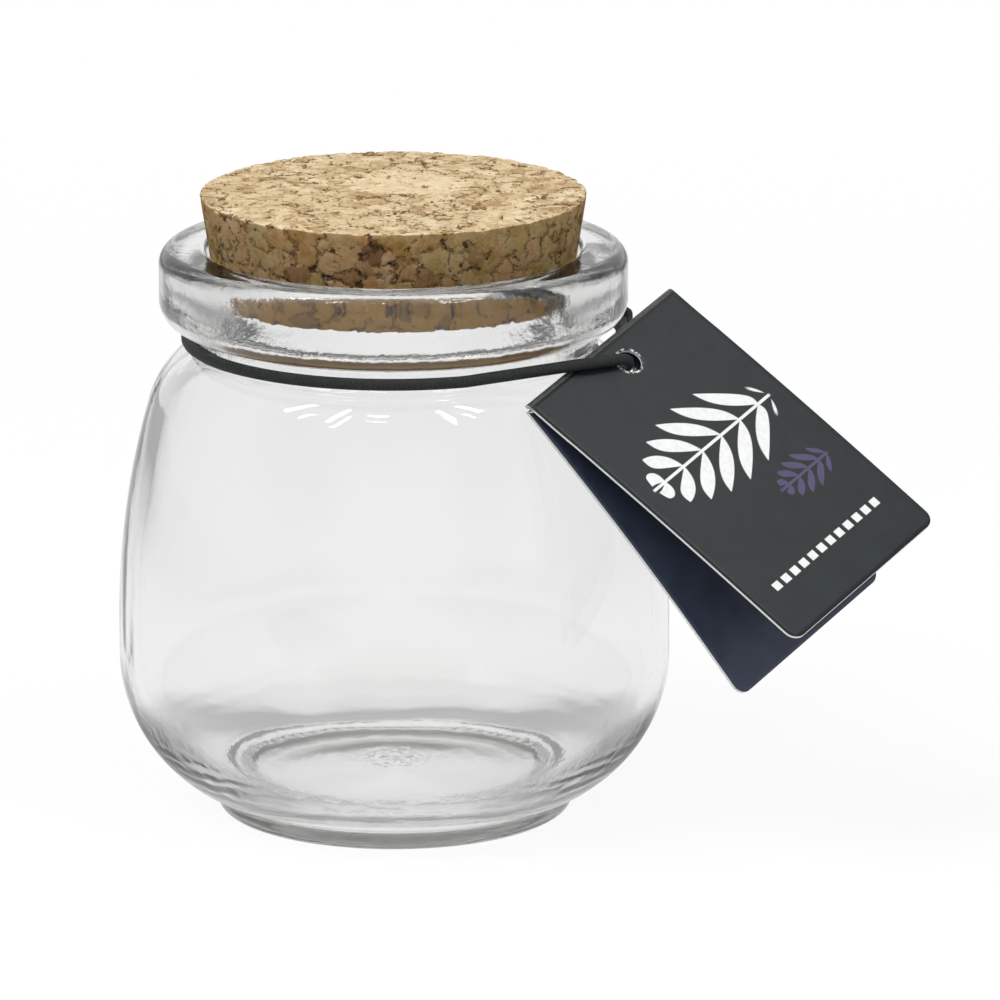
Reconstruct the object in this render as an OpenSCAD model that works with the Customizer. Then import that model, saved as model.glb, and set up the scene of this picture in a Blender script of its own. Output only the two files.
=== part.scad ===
// Squat glass jar with a tapered cork stopper. A thin elastic cord runs round the neck, below the
// collar, and carries a folded card tag that leans out over the right shoulder.
// Millimetres. The origin is the middle of the jar's foot, on the table, with +Z up along the axis.
// +Y points away from the viewer and +X to the right, where the tag hangs.

/* [Stopper] */
// Diameter of the cork's top face
cork_top_d = 58.5; // [40:0.5:90]
// Diameter of the cork's bottom face
cork_bottom_d = 54; // [36:0.5:86]
// Length of the cork from face to face
cork_len = 15; // [8:0.5:40]
// How far the seated cork stands above the collar
cork_proud = 8.3; // [2:0.1:20]
// Bevel on the cork's two rims
cork_bevel = 0.4; // [0.2:0.1:1.5]
// Gap between the seated cork and the mouth, measured outwards
cork_gap = 0.15; // [0.1:0.05:0.5]

/* [Neck and collar] */
// Height of the jar from the table to the top of the collar
jar_h = 87.5; // [60:0.5:140]
// Height of the collar
collar_h = 11.9; // [6:0.1:20]
// How far the collar stands out from the neck
collar_out = 5.3; // [4:0.1:9]
// Radius of the collar's upper outer edge
collar_top_round = 2.5; // [0.5:0.1:4]
// Radius of the collar's lower outer edge
collar_low_round = 4; // [0.5:0.1:5]
// Radius of the mouth's inner edge
mouth_round = 1.2; // [0.3:0.1:2]
// Glass thickness of the neck at the cork's bottom face
neck_wall = 3.05; // [1.5:0.05:5]
// Height of the groove that the cord lies in, from the shoulder to the collar
groove_h = 3; // [2:0.1:8]

/* [Body] */
// Greatest outside diameter of the body
body_d = 84; // [76:1:120]
// Glass thickness of the body
wall = 2.8; // [1.5:0.1:5]
// Height where the body reaches its greatest width
belt_low = 24.5; // [16:0.5:35]
// Height of the straight band at the greatest width
belt_h = 5.5; // [1:0.5:20]
// How far the shoulder's edge lies inside the greatest width
shoulder_in = 4.9; // [2:0.1:12]
// Height of the tight shoulder curve below the neck
shoulder_h = 8.6; // [5:0.1:16]

/* [Foot] */
// Diameter of the foot
foot_d = 54.4; // [40:0.2:70]
// Height of the foot, where the heel's curve starts
foot_h = 2.8; // [1.5:0.1:6]
// How far the heel's curve starts outside the foot
heel_step = 0.4; // [0.2:0.1:2]
// Radius of the foot's lower edge
foot_round = 1.6; // [0.5:0.1:2.5]
// Width of the flat ring that the jar stands on
foot_ring = 2.6; // [1.5:0.1:5]
// Rise of the hollow under the base
push_up = 2.4; // [1:0.1:4]
// Height of the inner floor at its edge
floor_z = 5.3; // [4:0.1:10]
// Rise of the inner floor at its middle
floor_dome = 0.7; // [0.3:0.1:2]

/* [Cord] */
// Diameter of the cord
cord_d = 1.8; // [1:0.1:3]
// Gap between the cord and the neck
cord_gap = 0.2; // [0.1:0.05:0.5]
// Height of the cord's middle above the foot of the groove
cord_lift = 0.8; // [0.5:0.1:3]
// Diameter of the knot
knot_d = 4; // [3:0.1:6]
// Distance of the knot's middle from the neck's side
knot_out = 5.5; // [4:0.1:9]
// Place of the knot round the neck, in degrees from +X
knot_side = 14.3; // [0:0.1:40]
// Height of the knot's middle above the shoulder
knot_up = 1.4; // [1:0.1:4]

/* [Tag] */
// Width of the tag, along its fold
tag_w = 35; // [25:0.5:50]
// Length of each leaf, from the outside of the fold to the free end
tag_len = 54; // [40:0.5:80]
// Thickness of the card
card_t = 0.5; // [0.3:0.05:0.8]
// Inner radius of the rolled fold
fold_r = 0.4; // [0.2:0.05:1]
// Radius of the card's free corners
corner_r = 2; // [0.5:0.1:5]
// Diameter of the punched hole
hole_d = 4; // [3.6:0.1:6]
// Distance of the hole's middle from the outside of the fold
hole_in = 5; // [4:0.1:8]
// Distance of the hole's middle from the middle of the fold
hole_off = 1.5; // [0:0.1:5]
// Angle between the two leaves as the tag hangs
leaf_open = 19; // [10:1:60]
// Distance of the front leaf's crease from the outside of the fold
crease_in = 7.7; // [7:0.1:12]
// Width of the crease, where the front leaf bends
crease_w = 0.6; // [0.4:0.05:1]
// Distance of the middle of the fold from the neck's side
tag_out = 5.6; // [5:0.1:9]
// Place of the tag round the neck, in degrees from +X
tag_side = -29.3; // [-60:0.1:0]
// Height of the middle of the fold above the shoulder
tag_up = 2.5; // [2:0.1:5]
// Turns of the tag about X, Y and Z
tag_turn = [-38, 20, 229];

/* [Hidden] */
$fn = 96;
// Shortest overlap that joins two shapes of one solid
bite = 0.5;
// Taper of the cork, as radius gained for each millimetre of height
cork_taper = (cork_top_d - cork_bottom_d) / 2 / cork_len;
cork_z = jar_h + cork_proud - cork_len;
// The mouth follows the cork, the neck follows the mouth and the collar follows the neck
bore_r = cork_bottom_d / 2 + cork_gap;
mouth_r = bore_r + cork_taper * (jar_h - cork_z);
neck_r = bore_r + neck_wall;
collar_r = neck_r + collar_out;
collar_z = jar_h - collar_h;
neck_z = collar_z - groove_h;
// The body's side is two arcs: a wide one from the belt to the shoulder's edge and a tight one from
// there to the neck. Each radius follows from the points that its arc joins.
body_r = body_d / 2;
belt_top = belt_low + belt_h;
shoulder_r = body_r - shoulder_in;
shoulder_z = neck_z - shoulder_h;
side_r = arc_radius(shoulder_in, shoulder_z - belt_top);
side_c = [body_r - side_r, belt_top];
side_dir = unit([shoulder_r, shoulder_z] - side_c);
to_neck = [shoulder_r - neck_r, shoulder_z - neck_z];
curl_r = (to_neck * to_neck) / (2 * (to_neck * side_dir));
curl_c = [shoulder_r, shoulder_z] - curl_r * side_dir;
// The heel is one arc from the foot to the belt
foot_r = foot_d / 2;
heel_x = foot_r + heel_step;
heel_r = arc_radius(body_r - heel_x, belt_low - foot_h);
heel_c = [body_r - heel_r, belt_low];
// The inner heel is an arc that runs flat into the floor
inner_heel_r = belt_low - floor_z;
inner_heel_c = [body_r - wall - inner_heel_r, belt_low];
dish_r = foot_r - foot_round - foot_ring;
// The fold's roll and the leaves around it, in the tag's own frame
roll_r = fold_r + card_t;
leaf_end = tag_len - roll_r;
crease_y = crease_in - roll_r;
hole_at = [-hole_off, hole_in - roll_r, 0];
tag_at = round_neck(tag_out, tag_side, tag_up);
// The cord runs in a ring in the groove. It leaves the ring along straight lines: to the knot,
// behind the tag, and to the swing point over the tag's fold, where the tag's own run of cord starts.
ring_r = neck_r + cord_gap + cord_d / 2;
ring_z = neck_z + cord_lift;
knot_at = round_neck(knot_out, knot_side, knot_up);
over_fold = roll_r + cord_d / 2 + 0.1;
swing_at = from_tag([hole_at[0] + 7.5, 0, over_fold]);
swing_side = atan2(swing_at[1], swing_at[0]);
ring_from = knot_side + acos(ring_r / norm([knot_at[0], knot_at[1]]));
ring_to = 360 + swing_side - acos(ring_r / norm([swing_at[0], swing_at[1]]));
ring_steps = 32;
// The tag's run of cord, as seen from the hole's middle: over the front leaf, down through both
// holes and out behind. From there it runs straight to the knot.
route_hole = [
    [6.7, -3.6, over_fold], [4.5, -2.4, over_fold], [2.4, -1.3, over_fold - 0.02],
    [1.5, -0.8, over_fold - 0.15], [0.7, -0.4, over_fold - 0.5], [0.1, -0.1, 0.8], [-0.2, 0, 0],
    [-0.4, -0.1, -0.9], [-0.6, -0.4, -1.9], [-1.2, -0.8, -2.8], [-2.1, -1.3, -3.7],
    [-3.5, -2.1, -4.8]
];
// Gap between the tag's run of cord and the knot
knot_gap = 0.25;
// How far the knot's wrap stands out from its core
knot_step = 0.2;
// Free ends of the cord past the knot
knot_ends = [[2.3, 0.5, -4.4], [2.9, 2.4, -3.9]];
// The ball at the swing point stays inside the flat end of the neck's run
ball_d = 0.85 * cord_d;
cord_sides = 8;

glass_jar();
cork_stopper();
neck_cord();
cord_knot();
tag_cord();
tag_back_leaf();
tag_front_leaf();

function unit(v) = v / norm(v);

// A place beside the neck, from its distance, its angle from +X and its height above the shoulder
function round_neck(out, side, up) =
    [(neck_r + out) * cos(side), (neck_r + out) * sin(side), neck_z + up];

function turn_x(a, v) = [v[0], v[1] * cos(a) - v[2] * sin(a), v[1] * sin(a) + v[2] * cos(a)];
function turn_y(a, v) = [v[0] * cos(a) + v[2] * sin(a), v[1], v[2] * cos(a) - v[0] * sin(a)];
function turn_z(a, v) = [v[0] * cos(a) - v[1] * sin(a), v[0] * sin(a) + v[1] * cos(a), v[2]];

// A point of the tag's own frame as a point of the whole: X along the fold, Y down the front leaf
// and Z out of its face
function from_tag(v) =
    tag_at + turn_z(tag_turn[2], turn_y(tag_turn[1], turn_x(tag_turn[0], v)));

// Radius of an arc that starts upright and has moved inwards by dx after a height of dz
function arc_radius(dx, dz) = (dx * dx + dz * dz) / (2 * dx);

// The part of a disc between two heights, from its own middle outwards, and all that lies inside it
module arc_band(c, r, z0, z1) {
    top = min(z1, c[1] + r);
    intersection() {
        translate(c) circle(r);
        translate([max(0, c[0]), z0]) square([abs(c[0]) + r, top - z0]);
    }
    if (c[0] > 0) translate([0, z0]) square([c[0] + bite, top - z0]);
}

// Half outline of the jar's outside, filled
module outside_2d() {
    square([foot_r - foot_round, foot_h + bite]);
    translate([0, foot_round]) square([foot_r, foot_h - foot_round]);
    translate([foot_r - foot_round, foot_round]) circle(foot_round);
    arc_band(heel_c, heel_r, foot_h, belt_low);
    translate([0, belt_low]) square([body_r, belt_h]);
    arc_band(side_c, side_r, belt_top, shoulder_z);
    arc_band(curl_c, curl_r, shoulder_z, neck_z);
    translate([0, neck_z - bite]) square([neck_r, jar_h - neck_z]);
    collar_2d();
}

// Half outline of the collar, filled
module collar_2d() {
    low = collar_z + collar_low_round;
    high = jar_h - collar_top_round;
    translate([0, collar_z]) square([collar_r - collar_low_round, collar_low_round]);
    translate([collar_r - collar_low_round, low]) circle(collar_low_round);
    translate([0, low]) square([collar_r, high - low]);
    translate([collar_r - collar_top_round, high]) circle(collar_top_round);
    translate([0, high]) square([collar_r - collar_top_round, collar_top_round]);
}

// Half outline of the jar's inside
module inside_2d() {
    difference() {
        arc_band(inner_heel_c, inner_heel_r, floor_z, belt_low);
        dome_r = arc_radius(floor_dome, inner_heel_c[0]);
        translate([0, floor_z + floor_dome - dome_r]) circle(dome_r);
    }
    translate([0, belt_low]) square([body_r - wall, belt_h]);
    arc_band(side_c, side_r - wall, belt_top, shoulder_z);
    arc_band(curl_c, curl_r - wall, shoulder_z, neck_z);
    translate([0, shoulder_z]) square([bore_r, cork_z - shoulder_z]);
    mouth_2d();
}

// Half outline of the mouth: the cork's taper, and the rounded inner edge of the collar
module mouth_2d() {
    edge_z = jar_h - mouth_round;
    over = 1;
    top_r = mouth_r + cork_taper * over;
    polygon([[0, cork_z], [bore_r, cork_z], [top_r, jar_h + over], [0, jar_h + over]]);
    difference() {
        translate([0, edge_z]) square([mouth_r + mouth_round, mouth_round + over]);
        translate([mouth_r + mouth_round, edge_z]) circle(mouth_round);
    }
}

// The jar is one piece of moulded glass, with a shallow hollow under its base
module glass_jar() {
    dish_ball = arc_radius(push_up, dish_r);
    color([0.86, 0.9, 0.88, 0.35])
        rotate_extrude()
            difference() {
                outside_2d();
                inside_2d();
                intersection() {
                    translate([0, push_up - dish_ball]) circle(dish_ball);
                    translate([0, -push_up]) square([foot_r, 2 * push_up]);
                }
                translate([-body_d, 0]) square([body_d, jar_h]);
            }
}

// The cork is a plain tapered plug with slightly broken rims
module cork_stopper() {
    low = cork_bottom_d / 2;
    top = cork_top_d / 2;
    color([0.77, 0.62, 0.44])
        translate([0, 0, cork_z])
            rotate_extrude()
                polygon([
                    [0, 0], [low - cork_bevel, 0], [low, cork_bevel],
                    [top, cork_len - cork_bevel], [top - cork_bevel, cork_len], [0, cork_len]
                ]);
}

// A round tube through the points of a route. No stretch of the route runs along the side vector.
module tube(route, side) {
    last = len(route) - 1;
    rings = [
        for (i = [0 : last])
            let (
                along = unit(route[min(i + 1, last)] - route[max(i - 1, 0)]),
                across = unit(cross(side, along)),
                up = cross(along, across)
            )
            for (k = [0 : cord_sides - 1])
                let (a = 360 * k / cord_sides)
                route[i] + cord_d / 2 * (cos(a) * across + sin(a) * up)
    ];
    walls = [
        for (i = [0 : last - 1])
            for (k = [0 : cord_sides - 1])
                let (
                    a = i * cord_sides + k,
                    b = i * cord_sides + (k + 1) % cord_sides
                )
                each [[a, a + cord_sides, b], [b, a + cord_sides, b + cord_sides]]
    ];
    first_cap = [for (k = [0 : cord_sides - 1]) k];
    last_cap = [for (k = [cord_sides - 1 : -1 : 0]) last * cord_sides + k];
    polyhedron(points = rings, faces = concat(walls, [first_cap, last_cap]));
}

// The cord's run from the knot, round the back and the front of the neck, to the swing point
module neck_cord() {
    ring = [
        for (i = [0 : ring_steps])
            let (a = ring_from + (ring_to - ring_from) * i / ring_steps)
            [ring_r * cos(a), ring_r * sin(a), ring_z]
    ];
    color([0.1, 0.12, 0.11]) {
        tube(concat([knot_at], ring, [swing_at]), [0, 0, 1]);
        translate(swing_at) sphere(d = ball_d);
    }
}

// The knot that closes the cord's loop, with its two cut ends
module cord_knot() {
    color([0.1, 0.12, 0.11]) {
        translate(knot_at) {
            sphere(d = knot_d - 2 * knot_step);
            rotate([62, 0, 15])
                rotate_extrude()
                    translate([(knot_d - cord_d) / 2, 0]) circle(d = cord_d);
        }
        for (end = knot_ends)
            translate(knot_at)
                rotate([0, acos(end[2] / norm(end)), atan2(end[1], end[0])])
                    cylinder(d = cord_d, h = norm(end));
    }
}

// Puts a shape that is drawn in the tag's own frame in its place
module in_tag_frame() {
    translate(tag_at) rotate(tag_turn) children();
}

// The cord's run through the tag, from the swing point to the knot
module tag_cord() {
    to_hole = [for (p = route_hole) from_tag(hole_at + p)];
    last = to_hole[len(to_hole) - 1];
    near_knot = knot_at + (knot_d / 2 + knot_gap) * unit(last - knot_at);
    color([0.1, 0.12, 0.11])
        tube(concat(to_hole, [near_knot]), turn_z(tag_turn[2], [0.48, 0.877, 0.2]));
}

// What the rounded free corners take off a leaf that runs along Y
module corner_cutter() {
    for (side = [0, 1])
        mirror([side, 0, 0])
            translate([tag_w / 2 - corner_r, leaf_end - corner_r, -bite])
                linear_extrude(card_t + 2 * bite)
                    difference() {
                        square(2 * corner_r);
                        circle(corner_r);
                    }
}

// The punched hole, as a cutter square to its leaf
module hole_cutter() {
    translate([hole_at[0], hole_at[1], -bite])
        cylinder(d = hole_d, h = card_t + 2 * bite);
}

// The bent strip of the card above the crease, seen from its edge: the back leaf, the roll round
// the fold's own axis and the head of the front leaf
module fold_2d() {
    head = crease_y - crease_w / 2;
    difference() {
        union() {
            circle(roll_r);
            square([head, roll_r]);
            rotate(-leaf_open) translate([0, -roll_r]) square([leaf_end, roll_r]);
        }
        circle(fold_r);
        translate([0, -bite / 2]) square([2 * head, fold_r + bite / 2]);
        rotate(-leaf_open) translate([0, -fold_r]) square([2 * leaf_end, fold_r + bite / 2]);
        polygon([[0, 0], [leaf_end, 0], leaf_end * [cos(leaf_open), -sin(leaf_open)]]);
    }
}

// The back leaf, with the rolled fold and the head of the front leaf, which the cord pins to it
module tag_back_leaf() {
    color([0.2, 0.22, 0.24])
        in_tag_frame()
            difference() {
                rotate([90, 0, 90])
                    translate([0, 0, -tag_w / 2]) linear_extrude(tag_w) fold_2d();
                translate([0, 0, fold_r]) hole_cutter();
                rotate([-leaf_open, 0, 0])
                    translate([0, 0, -roll_r]) {
                        hole_cutter();
                        corner_cutter();
                    }
            }
}

// The front leaf below its crease
module tag_front_leaf() {
    start = crease_y + crease_w / 2;
    color([0.26, 0.28, 0.29])
        in_tag_frame()
            translate([0, 0, fold_r])
                difference() {
                    translate([-tag_w / 2, start, 0]) cube([tag_w, leaf_end - start, card_t]);
                    corner_cutter();
                }
}
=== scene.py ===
# %% [markdown]
# # A squat glass jar with a cork stopper and a hanging tag
#
# The real thing is a small storage jar: one piece of moulded glass, a tapered plug of pressed cork
# granules, and a folded card on a thin elastic cord round the neck. The solid parts were made in
# CAD first, and this script dresses them: it builds a detailed mesh for each of them in the same
# place, gives it a material worked out by nodes, and sets up a small studio around it.
# All lengths below are written in millimetres, as on a drawing, and become metres in one place.

# %% Tools and the CAD frame
import math

import bpy
import bmesh
from mathutils import Euler, Matrix, Vector, geometry


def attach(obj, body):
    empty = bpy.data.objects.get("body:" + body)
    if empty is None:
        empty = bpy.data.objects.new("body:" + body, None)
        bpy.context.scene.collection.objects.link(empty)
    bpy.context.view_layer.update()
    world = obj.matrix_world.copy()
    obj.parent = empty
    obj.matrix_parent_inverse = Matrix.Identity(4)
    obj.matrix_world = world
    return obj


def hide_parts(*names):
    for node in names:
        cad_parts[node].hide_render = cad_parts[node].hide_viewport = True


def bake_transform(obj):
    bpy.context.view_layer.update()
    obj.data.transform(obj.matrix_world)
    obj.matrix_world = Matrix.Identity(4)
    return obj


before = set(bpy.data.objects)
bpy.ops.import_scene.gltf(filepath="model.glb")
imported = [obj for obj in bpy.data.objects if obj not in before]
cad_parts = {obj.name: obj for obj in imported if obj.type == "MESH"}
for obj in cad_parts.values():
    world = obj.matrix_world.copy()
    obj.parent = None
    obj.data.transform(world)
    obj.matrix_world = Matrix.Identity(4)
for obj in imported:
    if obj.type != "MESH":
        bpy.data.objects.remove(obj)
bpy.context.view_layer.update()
scene = bpy.context.scene
MM = 0.001

# %% [markdown]
# ## The camera
#
# A photograph of a jar gives its camera away: the ellipses of the mouth and the foot say how far
# the lens looks down, and how they differ says how near it stands. Here it looks down by 14.5
# degrees from 1.34 m with a long lens, and the jar stands a little left of the middle. The camera
# is moved sideways together with its target, so that no lens shift is needed.

# %% Camera
CAMERA_RISE = math.radians(14.5)
CAMERA_AWAY = 1340
CAMERA_AIM = Vector((16.1, 0, 47.7))
LENS = 316.9


def aim_at(obj, place, target):
    """Puts an object at a place in mm and turns its -Z axis to a target."""
    obj.location = Vector(place) * MM
    obj.rotation_euler = (Vector(target) - Vector(place)).to_track_quat("-Z", "Y").to_euler()


camera = bpy.data.objects.new("camera", bpy.data.cameras.new("camera"))
scene.collection.objects.link(camera)
camera.data.lens = LENS
camera.data.sensor_width = 36
camera.data.clip_end = 20
back = Vector((0, -math.cos(CAMERA_RISE), math.sin(CAMERA_RISE)))
aim_at(camera, CAMERA_AIM + CAMERA_AWAY * back, CAMERA_AIM)
scene.camera = camera
print("camera at", [round(c, 3) for c in camera.location])

# %% [markdown]
# ## Sizes that the pieces share
#
# These are the driving dimensions of the CAD model that more than one piece below depends on. What
# follows from them is worked out in the same way as there, so the meshes meet their CAD solids.

# %% Shared sizes
CORK_TOP_R, CORK_LOW_R, CORK_LEN, CORK_PROUD, CORK_GAP = 29.25, 27, 15, 8.3, 0.15
JAR_H, COLLAR_H, COLLAR_OUT, GROOVE_H, NECK_WALL = 87.5, 11.9, 5.3, 3, 3.05
CORD_D = 1.8
CARD_T, FOLD_R, TAG_W, TAG_LEN = 0.5, 0.4, 35, 54

CORK_Z = JAR_H + CORK_PROUD - CORK_LEN
CORK_TAPER = (CORK_TOP_R - CORK_LOW_R) / CORK_LEN
BORE_R = CORK_LOW_R + CORK_GAP
NECK_R = BORE_R + NECK_WALL
NECK_Z = JAR_H - COLLAR_H - GROOVE_H
ROLL_R = FOLD_R + CARD_T
print("cork seat at", CORK_Z, "neck radius", NECK_R, "neck height", round(NECK_Z, 2))

# %% [markdown]
# ## The route of the cord
#
# The cord is one length of elastic. It starts at its knot, runs round the back and the front of
# the neck, crosses the fold of the tag, goes down through both punched holes and comes back to the
# knot. The route is the CAD route, point for point. A tube could be a curve with a bevel, but the
# cord has to bend where the tag swings, so it is a mesh tube that follows a smooth line.

# %% Route of the cord
def round_neck(out, side, up):
    """A place beside the neck: how far out, its angle from +X and its height over the shoulder."""
    a = math.radians(side)
    return Vector(((NECK_R + out) * math.cos(a), (NECK_R + out) * math.sin(a), NECK_Z + up))


RING_R, RING_Z = NECK_R + 0.2 + CORD_D / 2, NECK_Z + 0.8
KNOT_AT = round_neck(5.5, 14.3, 1.4)
TAG_AT = round_neck(5.6, -29.3, 2.5)
TAG_TURN = Euler([math.radians(a) for a in (-38, 20, 229)], "XYZ")
tag_matrix = Matrix.Translation(TAG_AT) @ TAG_TURN.to_matrix().to_4x4()
HOLE_X, HOLE_Y, HOLE_R = -1.5, 5 - ROLL_R, 2.0
OVER_FOLD = ROLL_R + CORD_D / 2 + 0.1
SWING_AT = tag_matrix @ Vector((HOLE_X + 7.5, 0, OVER_FOLD))
ROUTE_HOLE = [
    (6.7, -3.6, OVER_FOLD), (4.5, -2.4, OVER_FOLD), (2.4, -1.3, OVER_FOLD - 0.02),
    (1.5, -0.8, OVER_FOLD - 0.15), (0.7, -0.4, OVER_FOLD - 0.5), (0.1, -0.1, 0.8), (-0.2, 0, 0),
    (-0.4, -0.1, -0.9), (-0.6, -0.4, -1.9), (-1.2, -0.8, -2.8), (-2.1, -1.3, -3.7),
    (-3.5, -2.1, -4.8),
]


def side_angle(p):
    return math.degrees(math.atan2(p.y, p.x))


def touch_angle(p):
    """Angle at the neck's axis between a point and where its line touches the ring of cord."""
    return math.degrees(math.acos(RING_R / math.hypot(p.x, p.y)))


def between(a, b, step=3.0):
    """Points that part a straight run evenly, without its two ends."""
    n = max(1, round((b - a).length / step))
    return [a.lerp(b, i / n) for i in range(1, n)]


def smooth_line(points, step):
    """Points along a smooth curve through the given ones, about a step apart."""
    line = []
    for i in range(len(points) - 1):
        a, b = points[i], points[i + 1]
        before = points[i - 1] if i else a * 2 - b
        after = points[i + 2] if i + 2 < len(points) else b * 2 - a
        n = max(1, round((b - a).length / step))
        for k in range(n):
            t = k / n
            line.append(0.5 * (2 * a + (b - before) * t
                               + (2 * before - 5 * a + 4 * b - after) * t**2
                               + (3 * a - before - 3 * b + after) * t**3))
    return line + [points[-1]]


ring_from = side_angle(KNOT_AT) + touch_angle(KNOT_AT)
ring_to = 360 + side_angle(SWING_AT) - touch_angle(SWING_AT)
ring = []
for i in range(65):
    a = math.radians(ring_from + (ring_to - ring_from) * i / 64)
    ring.append(Vector((RING_R * math.cos(a), RING_R * math.sin(a), RING_Z)))
through_tag = [tag_matrix @ (Vector((HOLE_X, HOLE_Y, 0)) + Vector(p)) for p in ROUTE_HOLE]
corners = [KNOT_AT] + between(KNOT_AT, ring[0]) + ring + between(ring[-1], SWING_AT) + [SWING_AT]
corners += through_tag + between(through_tag[-1], KNOT_AT) + [KNOT_AT]
cord_line = smooth_line(corners, 0.6)
cord_length = sum((b - a).length for a, b in zip(cord_line, cord_line[1:]))
print("cord:", len(cord_line), "points,", round(cord_length, 1), "mm long")

# %% [markdown]
# ## Meshes from points
#
# Two helpers turn lists of points in millimetres into meshes. The first makes any mesh. The second
# sweeps a ring of points along a line: each ring is turned only as much as the line bends, so the
# tube doesn't twist. It also writes a UV map in millimetres, along and round the tube, which a
# woven pattern can follow.

# %% Mesh helpers
def linked(name, mesh):
    obj = bpy.data.objects.new(name, mesh)
    scene.collection.objects.link(obj)
    return obj


def swept_tube(name, line, radius, sides=14):
    """A closed tube along a line, with a UV map of millimetres along it and turns round it."""
    rings, along, run = [], [], 0.0
    across = None
    for i, p in enumerate(line):
        direction = (line[min(i + 1, len(line) - 1)] - line[max(i - 1, 0)]).normalized()
        if across is None:
            across = direction.orthogonal().normalized()
        across = (across - direction * across.dot(direction)).normalized()
        up = direction.cross(across)
        if i:
            run += (p - line[i - 1]).length
        rings.append([p + radius(run) * (math.cos(a) * across + math.sin(a) * up)
                      for a in (2 * math.pi * k / sides for k in range(sides))])
        along.append(run)
    points = [p for r in rings for p in r]
    faces, uvs = [], []
    for i in range(len(rings) - 1):
        for k in range(sides):
            j = (k + 1) % sides
            faces.append((i * sides + k, i * sides + j, (i + 1) * sides + j, (i + 1) * sides + k))
            turn = (k / sides, (k + 1) / sides)
            uvs.append(((along[i], turn[0]), (along[i], turn[1]),
                        (along[i + 1], turn[1]), (along[i + 1], turn[0])))
    first, last = len(points), len(points) + 1
    points += [line[0], line[-1]]
    end = (len(rings) - 1) * sides
    for k in range(sides):
        j = (k + 1) % sides
        faces.append((first, j, k))
        uvs.append(((along[0], 0),) * 3)
        faces.append((last, end + k, end + j))
        uvs.append(((along[-1], 0),) * 3)
    mesh = bpy.data.meshes.new(name)
    mesh.from_pydata([p * MM for p in points], [], faces)
    layer = mesh.uv_layers.new(name="along_and_round")
    for polygon, corner_uvs in zip(mesh.polygons, uvs):
        for loop, uv in zip(polygon.loop_indices, corner_uvs):
            layer.data[loop].uv = uv
        polygon.use_smooth = True
    return outward(linked(name, mesh))


def outward(obj):
    """Turns all the faces of a closed mesh outwards, and says how large it is."""
    work = bmesh.new()
    work.from_mesh(obj.data)
    bmesh.ops.recalc_face_normals(work, faces=work.faces)
    if work.calc_volume(signed=True) < 0:
        bmesh.ops.reverse_faces(work, faces=work.faces)
    open_edges = sum(not e.is_manifold for e in work.edges)
    size = work.calc_volume() / MM**3
    work.to_mesh(obj.data)
    work.free()
    print(f"{obj.name}: {len(obj.data.polygons)} faces, {size:.0f} mm3, {open_edges} open edges")
    return obj


cord = swept_tube("elastic_cord", cord_line, lambda run: CORD_D / 2)

# %% [markdown]
# ## Shader maths as Python
#
# Node materials are sums and products of sockets, which are hard to read as long lists of links.
# The class below wraps one socket and overloads the arithmetic, so that a mask can be written as
# 1 - mask, and each operation adds its Math node. Any other node comes from one method, add, that
# takes the node's type, its settings and its sockets' values or links.

# %% Node trees
class Wire:
    """One output socket in a node tree. Arithmetic on it adds Math nodes."""

    def __init__(self, net, socket):
        self.net, self.socket = net, socket

    def other(self, name):
        return Wire(self.net, self.socket.node.outputs[name])

    def __add__(self, b): return self.net.maths("ADD", self, b)
    def __radd__(self, b): return self.net.maths("ADD", b, self)
    def __sub__(self, b): return self.net.maths("SUBTRACT", self, b)
    def __rsub__(self, b): return self.net.maths("SUBTRACT", b, self)
    def __mul__(self, b): return self.net.maths("MULTIPLY", self, b)
    def __rmul__(self, b): return self.net.maths("MULTIPLY", b, self)
    def __truediv__(self, b): return self.net.maths("DIVIDE", self, b)
    def __neg__(self): return self.net.maths("MULTIPLY", self, -1)


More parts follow.
